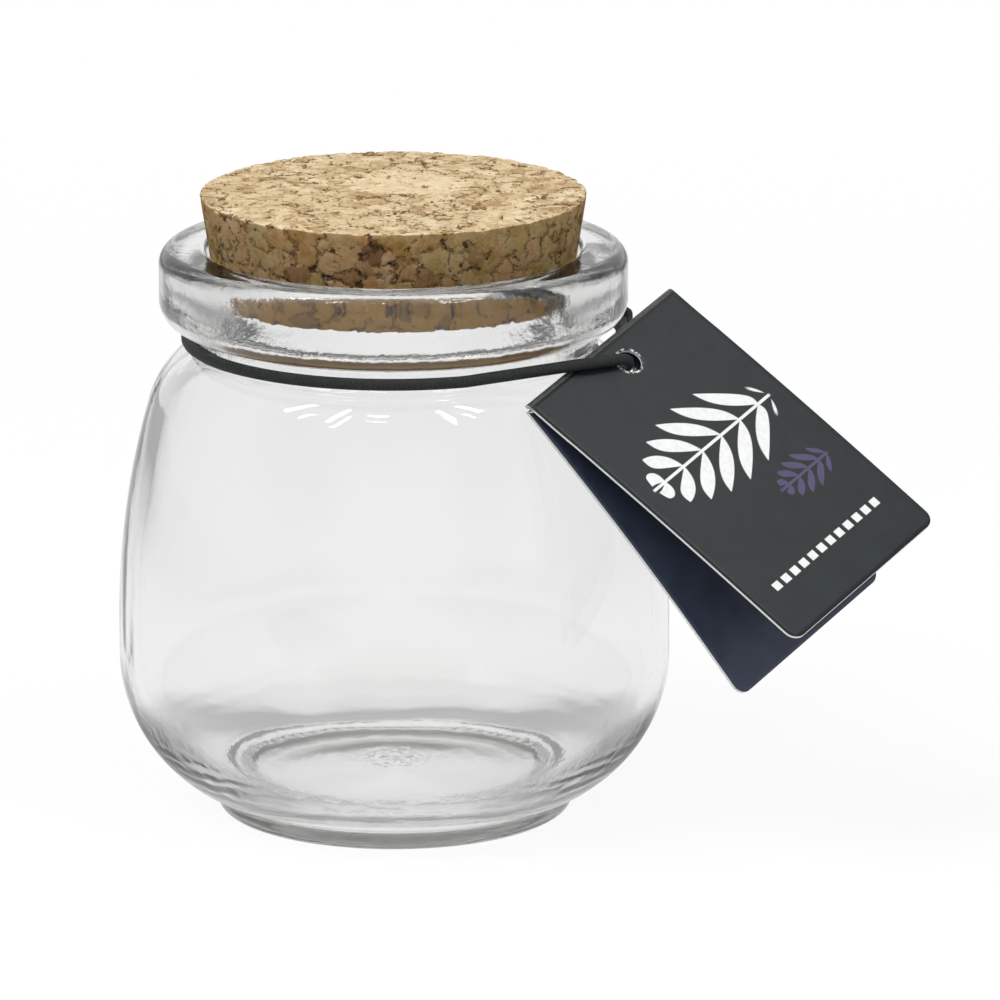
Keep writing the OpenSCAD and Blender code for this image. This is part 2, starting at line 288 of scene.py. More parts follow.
class Net:
    """A node tree that is being built."""

    def __init__(self, tree):
        self.tree = tree
        tree.nodes.clear()

    def add(self, kind, sockets=None, out=0, **settings):
        node = self.tree.nodes.new(kind)
        stops = settings.pop("stops", None)
        for name, value in settings.items():
            setattr(node, name, value)
        if stops:
            marks = node.color_ramp.elements
            while len(marks) < len(stops):
                marks.new(0.5)
            for mark, (place, shade) in zip(marks, stops):
                mark.position = place
                mark.color = colour(shade)
        for key, value in (sockets or {}).items():
            if isinstance(value, Wire):
                self.tree.links.new(value.socket, node.inputs[key])
            else:
                node.inputs[key].default_value = value
        return Wire(self, node.outputs[out]) if node.outputs else node

    def maths(self, operation, *values):
        return self.add("ShaderNodeMath", dict(enumerate(values)), operation=operation)

    def vector(self, operation, *values, **sockets):
        return self.add("ShaderNodeVectorMath", {**dict(enumerate(values)), **sockets},
                        operation=operation)

    def step(self, value, low, high):
        """0 below low and 1 above high, smooth between them. It falls if high is the lower."""
        return self.add("ShaderNodeMapRange", {"Value": value, "From Min": low, "From Max": high},
                        interpolation_type="SMOOTHSTEP")

    def least(self, a, b): return self.maths("MINIMUM", a, b)
    def most(self, a, b): return self.maths("MAXIMUM", a, b)
    def size(self, a): return self.maths("ABSOLUTE", a)
    def length(self, vector): return self.vector("LENGTH", vector).other("Value")
    def object_place(self): return self.add("ShaderNodeTexCoord", out="Object")

    def split(self, vector):
        """The x of a vector. Its y and z are other("Y") and other("Z") of the same wire."""
        return self.add("ShaderNodeSeparateXYZ", {0: vector})

    def mix(self, share, a, b):
        """Colour a where share is 0 and b where it is 1."""
        return self.add("ShaderNodeMix", {"Factor": share, 6: colour(a), 7: colour(b)}, out=2,
                        data_type="RGBA")

    def noise(self, place, scale, detail=3, rough=0.55, out="Fac"):
        return self.add("ShaderNodeTexNoise", {"Vector": place, "Scale": scale, "Detail": detail,
                                               "Roughness": rough}, out=out)

    def bump(self, height, depth, strength=1.0):
        return self.add("ShaderNodeBump", {"Height": height, "Distance": depth,
                                           "Strength": strength})


def colour(value):
    """A colour for a socket: a wire stays, and three numbers from 0 to 255 become linear."""
    if isinstance(value, Wire):
        return value
    linear = [c / 255 / 12.92 if c <= 10 else ((c / 255 + 0.055) / 1.055) ** 2.4 for c in value]
    return (*linear, 1)


def new_material(name):
    made = bpy.data.materials.new(name)
    made.use_nodes = True
    return made, Net(made.node_tree)


def material(name, build, **plain):
    """A material whose Principled shader takes plain values and what build(net) gives."""
    made, net = new_material(name)
    sockets = {key.replace("_", " "): value for key, value in plain.items()}
    shader = net.add("ShaderNodeBsdfPrincipled", {**sockets, **build(net)})
    net.add("ShaderNodeOutputMaterial", {"Surface": shader})
    return made


print("node helpers ready")

# %% [markdown]
# ## Studio
#
# The photograph has a white ground and soft light. Glass shows its shape only by what it bends
# and mirrors, so what surrounds it matters more than the lamps do. The camera itself sees plain
# white. The glass and the gloss see a pale room whose sides are grey, which gives the glass its
# dark edges, and a ground painted darker to the sides and with painted soft shadows round the
# foot, which the heel gathers into grey crescents. The Light Path node tells these rays apart,
# and all other light stays plain.

# %% World and floor
WHITE = (1, 1, 1, 1)


def studio_world():
    world = bpy.data.worlds.new("studio")
    scene.world = world
    world.use_nodes = True
    net = Net(world.node_tree)
    axes = net.split(net.add("ShaderNodeTexCoord", out="Generated"))
    dark = net.step(net.size(axes), 0.30, 0.85) * 0.38
    front = net.step(axes.other("Y"), 0.15, -0.5) * 0.28
    top = net.step(axes.other("Z"), 0.35, 0.8) * 0.2
    bright = net.most(0.91 - dark - front - top, 0.5)
    path = net.add("ShaderNodeLightPath", out="Is Camera Ray")
    seen = net.most(path.other("Is Glossy Ray"), path.other("Is Transmission Ray"))
    plain, around, white = (net.add("ShaderNodeBackground", {"Color": WHITE, "Strength": s})
                            for s in (0.45, bright, 1.0))
    both = net.add("ShaderNodeMixShader", {0: seen, 1: plain, 2: around})
    every = net.add("ShaderNodeMixShader", {0: path, 1: both, 2: white})
    net.add("ShaderNodeOutputWorld", {"Surface": every})


def white_ground():
    made, net = new_material("white_ground")
    path = net.add("ShaderNodeLightPath", out="Is Camera Ray")
    mirrored = net.most(path.other("Is Glossy Ray"), path.other("Is Transmission Ray"))
    place = net.object_place()
    axes, away = net.split(place), net.length(place)
    # Seen by glass and gloss, the ground is painted darker to the sides and in front of the jar.
    beside = net.step(net.size(axes), 70 * MM, 350 * MM) * 0.5
    before = net.step(axes.other("Y"), -100 * MM, -400 * MM) * 0.15
    sideways = net.step(net.size(axes) / away, 0.35, 0.85) * 0.52 + 0.12
    # A painted contact shadow round the foot, out to 72 mm and strongest to the sides.
    contact_shadow = (net.step(away, 72 * MM, 46 * MM) - net.step(away, 46 * MM, 30 * MM) * 0.85) * sideways
    # A painted shadow under the ring that the jar stands on.
    ring = net.step(away, 26.2 * MM, 25.2 * MM) * net.step(away, 22.6 * MM, 23.6 * MM) * 0.25
    # A painted shadow under the heel, in front of and behind the jar.
    fore = net.step(net.size(axes.other("Y")) / away, 0.4, 0.8) * 0.4
    heel = net.step(away, 46 * MM, 40 * MM) * net.step(away, 27.5 * MM, 30 * MM) * fore
    paper_and_painted_shadow = net.most(net.most(0.9 - beside - before - contact_shadow - ring - heel, 0.4), path)
    lit = net.add("ShaderNodeBsdfDiffuse", {"Color": (0.9, 0.9, 0.9, 1)})
    glow = net.add("ShaderNodeEmission", {"Color": WHITE, "Strength": paper_and_painted_shadow})
    share = 0.88 + net.step(away, 150 * MM, 500 * MM) * 0.12
    ground = net.add("ShaderNodeMixShader", {0: net.most(path, mirrored) * share, 1: lit, 2: glow})
    net.add("ShaderNodeOutputMaterial", {"Surface": ground})
    return made


studio_world()
FLOOR_HALF, FLOOR_UNDER = 4000, 0.02
floor_mesh = bpy.data.meshes.new("floor")
floor_mesh.from_pydata([Vector((x * FLOOR_HALF, y * FLOOR_HALF, -FLOOR_UNDER)) * MM
                        for x, y in ((-1, -1), (1, -1), (1, 1), (-1, 1))], [], [(0, 1, 2, 3)])
floor = linked("floor", floor_mesh)
floor_mesh.materials.append(white_ground())

# %% [markdown]
# ## Lamps
#
# Two large soft boxes give the light, and the glass doesn't mirror them. Five narrow strips
# overhead give little light, but the shoulder mirrors them as short bright strokes.

# %% Lamps
def soft_box(name, place, target, size, watts, mirrored):
    lamp = bpy.data.lights.new(name, "AREA")
    lamp.shape = "RECTANGLE"
    lamp.size, lamp.size_y = size[0] * MM, size[1] * MM
    lamp.energy = watts
    obj = linked(name, lamp)
    obj.visible_camera = False
    obj.visible_glossy = mirrored
    obj.visible_transmission = mirrored
    aim_at(obj, place, target)


soft_box("key_left", (-700, -700, 1300), (0, 0, 50), (700, 700), 14, False)
soft_box("fill_right", (1100, -700, 700), (20, 0, 50), (800, 600), 5, False)
STRIPS = [
    ((-430, -120, 950), (42, 400), 1.0), ((-300, -330, 850), (32, 280), 0.65),
    ((-80, -370, 880), (110, 30), 0.25), ((350, -160, 950), (38, 340), 0.85),
    ((290, -330, 850), (32, 220), 0.5),
]
for number, (place, size, watts) in enumerate(STRIPS):
    soft_box(f"ceiling_strip_{number}", place, (0, 0, 60), size, watts, True)
scene.view_settings.view_transform = "Standard"
scene.cycles.max_bounces = scene.cycles.transmission_bounces = 20
scene.cycles.glossy_bounces = 8

# %% [markdown]
# ## The jar's outline
#
# A moulded jar is round, so half of its outline says nearly everything. The outline runs from the
# middle of the base, out over the foot, up the belly, over the shoulder, into the groove of the
# neck, round the collar, down through the mouth and along the inner wall to the middle of the
# floor. It is made of the same arcs as the CAD part, with each sharp corner eased, and its points
# are closer together where it bends tightly. Each point also says how wavy the glass is there:
# the outside was pressed against a smooth mould, and the inside was blown and never touched one.

# %% Outline helpers
def arc(centre, radius, start, end, step):
    """Points on an arc, angles in degrees, about a step apart."""
    n = max(2, math.ceil(abs(math.radians(end - start)) * radius / step))
    angles = [math.radians(start + (end - start) * i / n) for i in range(n + 1)]
    return [(centre[0] + radius * math.cos(a), centre[1] + radius * math.sin(a)) for a in angles]


def straight(a, b, step):
    n = max(1, math.ceil(math.dist(a, b) / step))
    return [(a[0] + (b[0] - a[0]) * i / n, a[1] + (b[1] - a[1]) * i / n) for i in range(n + 1)]


def angle_at(centre, point):
    return math.degrees(math.atan2(point[1] - centre[1], point[0] - centre[0]))


def arc_radius(dx, dz):
    """Radius of an arc that starts upright and has moved in by dx after a height of dz."""
    return (dx * dx + dz * dz) / (2 * dx)


# %% Outline of the glass
BODY_R, WALL, BELT_LOW, BELT_H = 42, 2.8, 24.5, 5.5
SHOULDER_IN, SHOULDER_H = 4.9, 8.6
FOOT_R, FOOT_H, HEEL_STEP, FOOT_ROUND, FOOT_RING, PUSH_UP = 27.2, 2.8, 0.4, 1.6, 2.6, 2.4
FLOOR_Z, FLOOR_DOME = 5.3, 0.7
COLLAR_TOP_ROUND, COLLAR_LOW_ROUND, MOUTH_ROUND = 2.5, 4, 1.2
NEAR_AXIS = 0.001

BELT_TOP = BELT_LOW + BELT_H
COLLAR_R, COLLAR_Z = NECK_R + COLLAR_OUT, JAR_H - COLLAR_H
MOUTH_R = BORE_R + CORK_TAPER * (JAR_H - CORK_Z)
shoulder = (BODY_R - SHOULDER_IN, NECK_Z - SHOULDER_H)
side_r = arc_radius(SHOULDER_IN, shoulder[1] - BELT_TOP)
side_c = (BODY_R - side_r, BELT_TOP)
side_end = angle_at(side_c, shoulder)
side_way = (math.cos(math.radians(side_end)), math.sin(math.radians(side_end)))
to_neck = (shoulder[0] - NECK_R, shoulder[1] - NECK_Z)
across_curl = to_neck[0] * side_way[0] + to_neck[1] * side_way[1]
curl_r = (to_neck[0]**2 + to_neck[1]**2) / (2 * across_curl)
curl_c = (shoulder[0] - curl_r * side_way[0], shoulder[1] - curl_r * side_way[1])
heel_r = arc_radius(BODY_R - FOOT_R - HEEL_STEP, BELT_LOW - FOOT_H)
heel_c = (BODY_R - heel_r, BELT_LOW)
dish_r = FOOT_R - FOOT_ROUND - FOOT_RING
dish_ball = arc_radius(PUSH_UP, dish_r)
floor_r = BODY_R - WALL - (BELT_LOW - FLOOR_Z)
dome_ball = arc_radius(FLOOR_DOME, floor_r)

foot_part = (
    arc((0, PUSH_UP - dish_ball), dish_ball, 90, 90 - math.degrees(dish_r / dish_ball) + 0.8, 1.3)
    + arc((dish_r + 0.4, 1.2), 1.2, 245, 268, 0.16)
    + straight((dish_r + 0.6, 0), (FOOT_R - FOOT_ROUND - 0.2, 0), 0.3)
    + arc((FOOT_R - FOOT_ROUND, FOOT_ROUND), FOOT_ROUND, -80, 0, 0.28)
    + [(FOOT_R + 0.02, FOOT_H - 0.6), (FOOT_R + 0.1, FOOT_H - 0.1), (FOOT_R + 0.4, FOOT_H + 0.3)]
)
belly_part = (
    arc(heel_c, heel_r, angle_at(heel_c, (FOOT_R + 0.9, FOOT_H + 0.35)) + 0.4, 0, 1.0)
    + straight((BODY_R, BELT_LOW + 1), (BODY_R, BELT_TOP - 1), 1.5)
    + arc(side_c, side_r, 0, side_end, 1.8)
    + arc(curl_c, curl_r, side_end + 2, 56.5, 0.6)
)
collar_part = (
    arc((NECK_R + 0.9, NECK_Z + 0.5), 0.85, 225, 180, 0.25)
    + arc((NECK_R + 0.8, COLLAR_Z - 0.7), 0.75, 180, 100, 0.22)
    + arc((COLLAR_R - COLLAR_LOW_ROUND, COLLAR_Z + COLLAR_LOW_ROUND), COLLAR_LOW_ROUND, -88, 0, 0.5)
    + straight((COLLAR_R, COLLAR_Z + COLLAR_LOW_ROUND + 0.8),
               (COLLAR_R, JAR_H - COLLAR_TOP_ROUND - 0.6), 0.9)
    + arc((COLLAR_R - COLLAR_TOP_ROUND, JAR_H - COLLAR_TOP_ROUND), COLLAR_TOP_ROUND, 6, 90, 0.4)
    + straight((COLLAR_R - COLLAR_TOP_ROUND - 0.8, JAR_H),
               (MOUTH_R + MOUTH_ROUND + 0.6, JAR_H), 0.7)
    + arc((MOUTH_R + MOUTH_ROUND, JAR_H - MOUTH_ROUND), MOUTH_ROUND, 90, 180, 0.3)
    + straight((MOUTH_R - 0.1, JAR_H - MOUTH_ROUND - 0.7), (BORE_R + 0.05, CORK_Z + 0.2), 0.6)
    + straight((BORE_R, CORK_Z - 0.6), (BORE_R, NECK_Z), 0.7)
    + straight((BORE_R + 0.1, NECK_Z - 0.7), (BORE_R + 0.35, NECK_Z - 1.4), 0.4)
)
wall_part = (
    arc(curl_c, curl_r - WALL, 66, side_end + 2, 0.7)
    + arc(side_c, side_r - WALL, side_end, 0.4, 2.0)
    + straight((BODY_R - WALL, BELT_TOP), (BODY_R - WALL, BELT_LOW + 1), 1.3)
)
floor_part = (
    arc((floor_r, BELT_LOW), BELT_LOW - FLOOR_Z, 0, -86, 1.2)
    + arc((0, FLOOR_Z + FLOOR_DOME - dome_ball), dome_ball,
          90 - math.degrees(floor_r / dome_ball) + 0.5, 90, 1.2)
)
jar_parts = [(foot_part, 0.08), (belly_part, 0.2), (collar_part, 0.15), (wall_part, 1.0),
             (floor_part, 0.45)]
jar_outline = [(max(r, NEAR_AXIS), z) for part, _ in jar_parts for r, z in part]
jar_ripple = [share for part, share in jar_parts for _ in part]
ring_mid = (dish_r + FOOT_R - FOOT_ROUND) / 2
BEAD_HALF = 0.75
jar_beads = [float(z < 0.01 and abs(r - ring_mid) < BEAD_HALF) for r, z in jar_outline]
print("outline:", [len(part) for part, _ in jar_parts], "points")

# %% [markdown]
# ## A lathe made of Geometry Nodes
#
# The jar and the cork are both turned shapes, so one node tree makes them: it takes an outline as
# a line of points, lays out a grid with one column for each point, and rolls the grid round the
# axis. A Screw modifier could do that too, but here the same tree also moves the glass in and out
# by a smooth noise, as much as each outline point allows, and that can be tuned from outside.

# %% Tree helpers
def tree_with_inputs(name, inputs):
    """A geometry tree with named inputs, its Net, and its input wires by name."""
    tree = bpy.data.node_groups.new(name, "GeometryNodeTree")
    for label, kind in inputs.items():
        tree.interface.new_socket(label, in_out="INPUT", socket_type="NodeSocket" + kind)
    tree.interface.new_socket("Mesh", in_out="OUTPUT", socket_type="NodeSocketGeometry")
    net = Net(tree)
    start = net.add("NodeGroupInput")
    return tree, net, {label: start.other(label) for label in inputs}


def tree_end(net, geometry_wire, finish):
    """Every tree ends in real faces with a material."""
    whole = net.add("GeometryNodeRealizeInstances", {"Geometry": geometry_wire})
    painted = net.add("GeometryNodeSetMaterial", {"Geometry": whole, "Material": finish})
    net.add("NodeGroupOutput", {"Mesh": painted})


def run_nodes(obj, tree, **values):
    """Runs a geometry tree on an object and keeps the result as its plain mesh."""
    modifier = obj.modifiers.new(tree.name, "NODES")
    modifier.node_group = tree
    for item in tree.interface.items_tree:
        key = item.name.replace(" ", "_")
        if item.in_out == "INPUT" and key in values:
            modifier[item.identifier] = values[key]
    bpy.context.view_layer.update()
    result = obj.evaluated_get(bpy.context.evaluated_depsgraph_get())
    mesh = bpy.data.meshes.new_from_object(result)
    obj.modifiers.remove(modifier)
    obj.data = mesh
    mesh.name = obj.name
    mesh.polygons.foreach_set("use_smooth", [True] * len(mesh.polygons))
    return outward(obj)


# %% Lathe tree
def lathe_tree():
    tree, net, given = tree_with_inputs("lathe", {
        "Outline": "Geometry", "Steps round": "Int", "Ripple depth": "Float",
        "Ripple scale": "Float", "Ripple seed": "Float", "Bead count": "Float",
        "Bead depth": "Float", "Material": "Material"})
    columns = net.add("GeometryNodeAttributeDomainSize", {"Geometry": given["Outline"]})
    rows = given["Steps round"] + 1
    grid = net.add("GeometryNodeMeshGrid", {"Vertices X": columns, "Vertices Y": rows})
    index = net.add("GeometryNodeInputIndex")
    column = net.maths("FLOOR", (index + 0.5) / rows)
    angle = (index - column * rows) / given["Steps round"] * (2 * math.pi)
    here = net.add("GeometryNodeInputPosition")
    point = net.add("GeometryNodeSampleIndex", {
        "Geometry": given["Outline"], "Value": here, "Index": column}, data_type="FLOAT_VECTOR")
    ripple = net.add("GeometryNodeInputNamedAttribute", {"Name": "ripple"}, data_type="FLOAT")
    bead = net.add("GeometryNodeInputNamedAttribute", {"Name": "bead"}, data_type="FLOAT")
    share, bead_here = (net.add("GeometryNodeSampleIndex", {
        "Geometry": given["Outline"], "Value": value, "Index": column}, data_type="FLOAT")
        for value in (ripple, bead))
    axes = net.split(point)
    dent = net.most(net.maths("COSINE", angle * given["Bead count"]), 0.0) * bead_here
    place = net.add("ShaderNodeCombineXYZ", {
        0: axes * net.maths("COSINE", angle), 1: axes * net.maths("SINE", angle),
        2: axes.other("Z") + dent * given["Bead depth"]})
    kept = net.add("GeometryNodeStoreNamedAttribute", {
        "Geometry": grid, "Name": "ripple", "Value": share}, data_type="FLOAT")
    rolled = net.add("GeometryNodeSetPosition", {"Geometry": kept, "Position": place})
    closed = net.add("GeometryNodeMergeByDistance", {"Geometry": rolled, "Distance": 2e-6})
    drawn = net.vector("MULTIPLY", here, (1, 1, 0.4))
    wobble = net.add("ShaderNodeTexNoise", {
        "Vector": drawn, "W": given["Ripple seed"], "Scale": given["Ripple scale"],
        "Detail": 1.5, "Roughness": 0.5}, noise_dimensions="4D")
    push = (wobble - 0.5) * ripple * given["Ripple depth"]
    offset = net.vector("SCALE", net.add("GeometryNodeInputNormal"), Scale=push)
    moved = net.add("GeometryNodeSetPosition", {"Geometry": closed, "Offset": offset})
    tree_end(net, moved, given["Material"])
    return tree


def turned(name, outline, ripples, beads, finish, **values):
    """A turned piece from outline points (radius, height) in mm, with two shares for each point."""
    mesh = bpy.data.meshes.new(name)
    mesh.from_pydata([(r * MM, 0, z * MM) for r, z in outline],
                     [(i, i + 1) for i in range(len(outline) - 1)], [])
    mesh.attributes.new("ripple", "FLOAT", "POINT").data.foreach_set("value", ripples)
    mesh.attributes.new("bead", "FLOAT", "POINT").data.foreach_set("value", beads)
    return run_nodes(linked(name, mesh), LATHE, Material=finish, **values)


LATHE = lathe_tree()

# %% [markdown]
# ## Clear glass
#
# Clear glass is a shader with full transmission and an index of refraction of 1.5. Real soda-lime
# glass also swallows a little light on its way, so its edges, where one looks through centimetres
# of it, are greyer than its faces. A Volume Absorption node does exactly that. Moulded glass isn't
# perfectly smooth either: the collar and the heel are mottled where the cold mould chilled them,
# faint rings run round the heel, and the ring it stands on is stippled. Those are a relief and a
# roughness that depend on the height. A last node lets lamplight through to the cork, which is a
# common shortcut: without it, a lamp's rays can't find their way through bent glass and the
# cork's foot would be black.

# %% Glass
SHEAR_WAVES, HEEL_WAVES = 3600, 2600


def mould_marks(net):
    """Relief and roughness of the glass by height. The waves are in radians per metre."""
    place = net.object_place()
    height = net.split(place).other("Z")
    slope = net.split(net.add("ShaderNodeNewGeometry", out="True Normal")).other("Z")
    down = net.step(slope, -0.4, -0.8)
    upright = net.step(net.size(slope), 0.9, 0.7)
    under = net.step(height, 3.2 * MM, 2.7 * MM) * down
    collar = net.step(height, 72.2 * MM, 74.5 * MM)
    heel = net.step(height, 26 * MM, 10 * MM)
    base = net.step(height, 15 * MM, 6 * MM)
    away = net.length(net.vector("MULTIPLY", place, (1, 1, 0)))
    lumps = net.noise(place, 170, 2, 0.5)
    grain = net.noise(place, 800, 3, 0.6)
    shear = net.maths("SINE", away * SHEAR_WAVES + lumps * 14)
    shear = shear * net.step(away, 8 * MM, 1 * MM) * base
    rings = net.maths("SINE", height * HEEL_WAVES + lumps * 7)
    rings = rings * net.step(height, 13 * MM, 8 * MM) * upright
    relief = (lumps * (0.02 + collar * 0.11 + heel * 0.035)
              + grain * (0.0015 + collar * 0.05 + heel * 0.02 + under * 0.04)
              + shear * 0.03 + rings * 0.035)
    return {"Roughness": 0.03 + base * 0.09 + under * 0.3 + collar * 0.03,
            "Normal": net.bump(relief, 1 * MM)}


def clear_glass():
    made, net = new_material("clear_glass")
    shader = net.add("ShaderNodeBsdfPrincipled", {
        "Base Color": WHITE, "IOR": 1.5, "Transmission Weight": 1.0, **mould_marks(net)})
    through = net.add("ShaderNodeBsdfTransparent", {"Color": (0.93, 0.95, 0.94, 1)})
    lamp_ray = net.add("ShaderNodeLightPath", out="Is Shadow Ray")
    surface = net.add("ShaderNodeMixShader", {0: lamp_ray * 0.85, 1: shader, 2: through})
    inside_glass = net.add("ShaderNodeVolumeAbsorption", {
        "Color": (0.37, 0.39, 0.34, 1), "Density": 10.0})
    net.add("ShaderNodeOutputMaterial", {"Surface": surface, "Volume": inside_glass})
    return made


GLASS = clear_glass()
jar = turned("moulded_jar", jar_outline, jar_ripple, jar_beads, GLASS, Steps_round=360,
             Ripple_depth=0.55 * MM, Ripple_scale=70.0, Ripple_seed=3.0, Bead_count=72.0,
             Bead_depth=0.35 * MM)
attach(jar, "jar")
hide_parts("glass_jar")

# %% [markdown]
# ## Cork granules
#
# The stopper isn't cut from bark in one piece: it is pressed from granules of two to six
# millimetres and then turned. Each granule has its own shade, from straw to dark bark, and its own
# grain, because the granules lie every way up. Where two meet there may be a thin crevice or a pit.
# A Voronoi pattern is made for this: its cells are the granules, and the colour it gives each cell
# turns that cell's grain. Geometry Nodes sink the pits and chip the rim, and the material paints
# shade into the pits and crevices with the same patterns.

# %% Cork pattern
def granules(net, place, feature="F1", scale=270.0, out="Distance"):
    """The granule pattern: a Voronoi pattern whose cells are pulled about by a noise."""
    pull = net.noise(place, 420, 3, 0.65, out="Color")
    spread = net.vector("SUBTRACT", pull, (0.5, 0.5, 0.5))
    moved = net.vector("ADD", place, net.vector("SCALE", spread, Scale=0.0042))
    return net.add("ShaderNodeTexVoronoi", {"Vector": moved, "Scale": scale}, out=out,
                   feature=feature)


def pits(net, place):
    """Small holes, most of them where granules meet."""
    edge_gap = granules(net, place, "DISTANCE_TO_EDGE")
    near_edge = net.step(edge_gap, 0.16, 0.02)
    return net.step(net.noise(place, 520, 3, 0.65) + near_edge * 0.08, 0.62, 0.70)


def crevices(net, place):
    """Thin cracks between granules, in broken runs."""
    edge_gap = granules(net, place, "DISTANCE_TO_EDGE")
    return net.step(edge_gap, 0.09, 0.0) * net.step(net.noise(place, 330, 2, 0.6), 0.45, 0.55)


def pit_tree():
    tree, net, given = tree_with_inputs("cork_pits", {
        "Plug": "Geometry", "Crevice depth": "Float", "Pit depth": "Float",
        "Chip depth": "Float", "Top height": "Float", "Top radius": "Float",
        "Material": "Material"})
    here = net.add("GeometryNodeInputPosition")
    rough = net.noise(here, 900, 2, 0.6)
    radius = net.length(net.vector("MULTIPLY", here, (1, 1, 0)))
    rim_gap = net.most(given["Top height"] - net.split(here).other("Z"),
                       given["Top radius"] - radius)
    broken = net.step(net.noise(here, 380, 3, 0.6), 0.47, 0.66)
    chip = net.step(rim_gap, 1.1 * MM, 0.2 * MM) * broken
    depth = (crevices(net, here) * given["Crevice depth"] + pits(net, here) * given["Pit depth"]
             + chip * given["Chip depth"] + rough * (0.12 * MM))
    offset = net.vector("SCALE", net.add("GeometryNodeInputNormal"), Scale=-depth)
    moved = net.add("GeometryNodeSetPosition", {"Geometry": given["Plug"], "Offset": offset})
    tree_end(net, moved, given["Material"])
    return tree


# %% Cork finish
CORK_TOP_Z = CORK_Z + CORK_LEN
FLAKE_SCALE = 430.0


def flake(net, place, centre, half):
    """1 on one large ragged flake, whose centre and half sizes are in mm."""
    pull = net.vector("SUBTRACT", net.noise(place, 300, 3, 0.6, out="Color"), (0.5, 0.5, 0.5))
    ragged = net.vector("ADD", place, net.vector("SCALE", pull, Scale=0.006))
    offset = net.vector("SUBTRACT", ragged, tuple(c * MM for c in centre))
    share = net.vector("DIVIDE", offset, tuple(h * MM for h in half))
    return net.step(net.length(share), 1.0, 0.93)


def cork_look(net):
    """Pale flakes on top, a side darkened partly by painted shade, and painted light below the
    mouth.
    """
    place = net.object_place()
    cell = granules(net, place, out="Color")
    shades = net.split(cell)
    small = net.split(granules(net, place, "F1", FLAKE_SCALE, "Color"))
    flake_gap = granules(net, place, "DISTANCE_TO_EDGE", FLAKE_SCALE)
    here_and_there = net.step(net.noise(place, 410, 2, 0.6), 0.48, 0.58)
    flake_edge = net.step(flake_gap, 0.07, 0.0) * here_and_there
    turn = net.vector("SCALE", cell, Scale=6.3)
    turned_place = net.add("ShaderNodeVectorRotate", {"Vector": place, "Rotation": turn},
                           rotation_type="EULER_XYZ")
    grain = net.noise(net.vector("MULTIPLY", turned_place, (1, 1, 0.22)), 1300, 4, 0.65)
    fine = net.noise(place, 1700, 4, 0.7)
    blotch = net.noise(place, 240, 3, 0.6)
    tone = shades * 0.28 + small.other("Y") * 0.42 + blotch * 0.3 + grain * 0.5 - 0.27
    tan = net.add("ShaderNodeValToRGB", {"Fac": tone}, stops=[
        (0.0, (134, 104, 70)), (0.2, (171, 144, 105)), (0.42, (199, 177, 139)),
        (0.7, (214, 195, 159)), (1.0, (227, 211, 180))])
    big = flake(net, place, (2.2, 5.5, CORK_TOP_Z), (10.5, 8, 2))
    straw = net.mix(big * 0.7, tan, (222, 202, 166))
    lines = net.most(net.step(grain, 0.50, 0.34) * 0.42, flake_edge * 0.8)
    streaked = net.mix(lines * (1 - big * 0.6), straw, (146, 108, 66))
    # The side is darker than the top: partly the cork's own colour, partly painted shade.
    up = net.split(net.add("ShaderNodeNewGeometry", out="Normal")).other("Z")
    side = net.step(up, 0.75, 0.4)
    height = net.split(place).other("Z")
    # Below the mouth the cork is painted lighter and golden: painted light, standing in for
    # lamplight that the glass keeps from it.
    painted_light_below_mouth = net.step(height, JAR_H * MM, (JAR_H - 1) * MM) * 0.7
    side_tone_and_shade = net.mix(net.step(shades.other("Y"), 0.3, 0.7), (100, 76, 16), (108, 71, 19))
    side_shade_and_lower_light = net.mix(painted_light_below_mouth, net.mix(side * 0.74, streaked, side_tone_and_shade), (162, 120, 44))
    bark = net.most(flake(net, place, (-2.7, -29, CORK_TOP_Z - 2.7), (2.0, 3, 1.8)),
                    net.step(shades.other("Z") + blotch * 0.3, 1.04, 1.07) * side * 0.6)
    barked = net.mix(bark * 0.8, side_shade_and_lower_light, (78, 52, 32))
    # Pits and crevices are painted dark, darker still on the side: painted shade in the hollows.
    crack = crevices(net, place) * (1 - big * 0.8)
    pit = net.most(pits(net, place), net.step(fine, 0.69, 0.75) * 0.8)
    with_hollow_shade = net.mix(net.most(crack * (0.85 - side * 0.35), pit * 0.85), barked,
                   net.mix(side, (104, 72, 42), (56, 38, 20)))
    relief = grain * 0.35 + fine * 0.35 + small.other("X") * 0.3 - crack * 0.8 - pit
    return {"Base Color": with_hollow_shade, "Roughness": 0.85 - shades * 0.12,
            "Normal": net.bump(relief, 0.32 * MM, 0.8)}


CORK = material("pressed_cork", cork_look, Specular_IOR_Level=0.15)
CORK_BEVEL = 0.4
cork_outline = (
    straight((NEAR_AXIS, CORK_Z), (CORK_LOW_R - 0.5, CORK_Z), 1.2)
    + arc((CORK_LOW_R - CORK_BEVEL, CORK_Z + CORK_BEVEL), CORK_BEVEL, -60, 0, 0.2)
    + straight((CORK_LOW_R + 0.1, CORK_Z + 0.9), (CORK_TOP_R - 0.1, CORK_TOP_Z - 0.9), 0.36)
    + arc((CORK_TOP_R - CORK_BEVEL, CORK_TOP_Z - CORK_BEVEL), CORK_BEVEL, 0, 80, 0.2)
    + straight((CORK_TOP_R - 0.8, CORK_TOP_Z), (NEAR_AXIS, CORK_TOP_Z), 0.42)
)
flat = [0.0] * len(cork_outline)
cork = turned("cork_plug", cork_outline, flat, flat, CORK, Steps_round=480)
run_nodes(cork, pit_tree(), Crevice_depth=0.25 * MM, Pit_depth=0.4 * MM, Chip_depth=0.3 * MM,
          Top_height=CORK_TOP_Z * MM, Top_radius=CORK_TOP_R * MM, Material=CORK)
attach(cork, "stopper")
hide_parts("cork_stopper")

# %% [markdown]
# ## Elastic cord and its knot
#
# The cord is a thin elastic with a braided cover. Its weave is far too small to model, so it is
# a relief that follows the tube's own UV map: two sets of slanting ridges. The knot is an overhand
# knot, which drawn as a line is a trefoil, with the two cut ends hanging from it.

